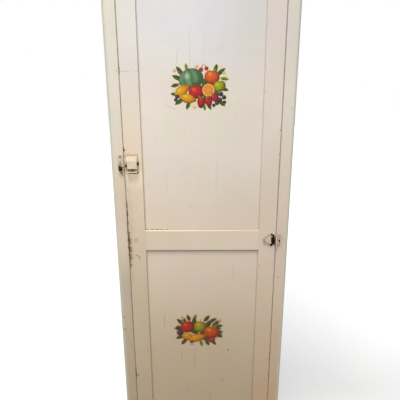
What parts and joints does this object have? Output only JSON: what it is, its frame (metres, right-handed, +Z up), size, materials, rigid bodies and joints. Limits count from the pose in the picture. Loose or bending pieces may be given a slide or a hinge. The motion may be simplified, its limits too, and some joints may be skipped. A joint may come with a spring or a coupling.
{
  "type": "single-door cupboard",
  "caption": "Tall narrow painted cupboard with one flush panelled door, a lift latch, butterfly hinges and shelves.",
  "frame": {"origin": "middle of the top board's footprint, on the floor", "axes": "+Z up, +Y towards the back (wall side), +X to the right as seen from the front"},
  "size_m": [0.527, 0.402, 1.778],
  "materials": {
    "cream_enamel": "old gloss cream enamel on pine",
    "inside_paint": "thin worn cream paint on pine",
    "bare_pine": "aged unpainted pine",
    "painted_hardware": "painted-over steel, worn dark at the moving edges",
    "plain_steel": "dull dark steel wire",
    "printed_transfer": "printed waterslide transfer of fruit and leaves, varnished"
  },
  "bodies": {
    "cabinet": {"left_side_panel": "cream_enamel", "right_side_panel": "cream_enamel", "top_board": "cream_enamel", "bottom_board": "inside_paint", "back_batten": "bare_pine", "back_board_1": "bare_pine", "back_board_2": "bare_pine", "back_board_3": "bare_pine", "back_board_4": "bare_pine", "back_board_5": "bare_pine", "shelf_1": "inside_paint", "shelf_2": "inside_paint", "shelf_3": "inside_paint", "shelf_4": "inside_paint", "shelf_cleat_left_1": "inside_paint", "shelf_cleat_right_1": "inside_paint", "shelf_cleat_left_2": "inside_paint", "shelf_cleat_right_2": "inside_paint", "shelf_cleat_left_3": "inside_paint", "shelf_cleat_right_3": "inside_paint", "shelf_cleat_left_4": "inside_paint", "shelf_cleat_right_4": "inside_paint", "cornice_front": "cream_enamel", "cornice_left": "cream_enamel", "cornice_right": "cream_enamel", "back_nails": "plain_steel", "carcass_nails": "plain_steel", "left_frame_stile": "cream_enamel", "right_frame_stile": "cream_enamel", "frame_bottom_rail": "cream_enamel", "frame_top_rail": "cream_enamel", "door_stop": "bare_pine", "hinge_frame_leaf_top": "painted_hardware", "hinge_frame_leaf_middle": "painted_hardware", "hinge_frame_leaf_bottom": "painted_hardware", "hinge_pin_top": "painted_hardware", "hinge_pin_middle": "painted_hardware", "hinge_pin_bottom": "painted_hardware", "hinge_frame_screws": "painted_hardware", "latch_strike": "painted_hardware", "strike_screws": "painted_hardware"},
    "door": {"door_left_stile": "cream_enamel", "door_right_stile": "cream_enamel", "door_bottom_rail": "cream_enamel", "door_middle_rail": "cream_enamel", "door_top_rail": "cream_enamel", "lower_door_panel": "cream_enamel", "upper_door_panel": "cream_enamel", "upper_transfer": "printed_transfer", "lower_transfer": "printed_transfer", "hinge_door_leaf_top": "painted_hardware", "hinge_door_leaf_middle": "painted_hardware", "hinge_door_leaf_bottom": "painted_hardware", "hinge_door_screws": "painted_hardware", "latch_base_plate": "painted_hardware", "latch_case": "painted_hardware", "latch_pivot": "painted_hardware", "latch_spring": "plain_steel", "latch_screws": "painted_hardware"},
    "latch_lever": {"latch_lever": "painted_hardware"}
  },
  "joints": [
    {"name": "door_swing", "type": "hinge", "parent": "cabinet", "child": "door", "pos_m": [0.2069, -0.1836, 0.925], "axis": [0, 0, 1], "range_deg": [0, 170]},
    {"name": "latch_lift", "type": "hinge", "parent": "door", "child": "latch_lever", "pos_m": [-0.1855, -0.185, 1.145], "axis": [0, 1, 0], "range_deg": [0, 20], "deforming": ["latch_spring"]}
  ]
}
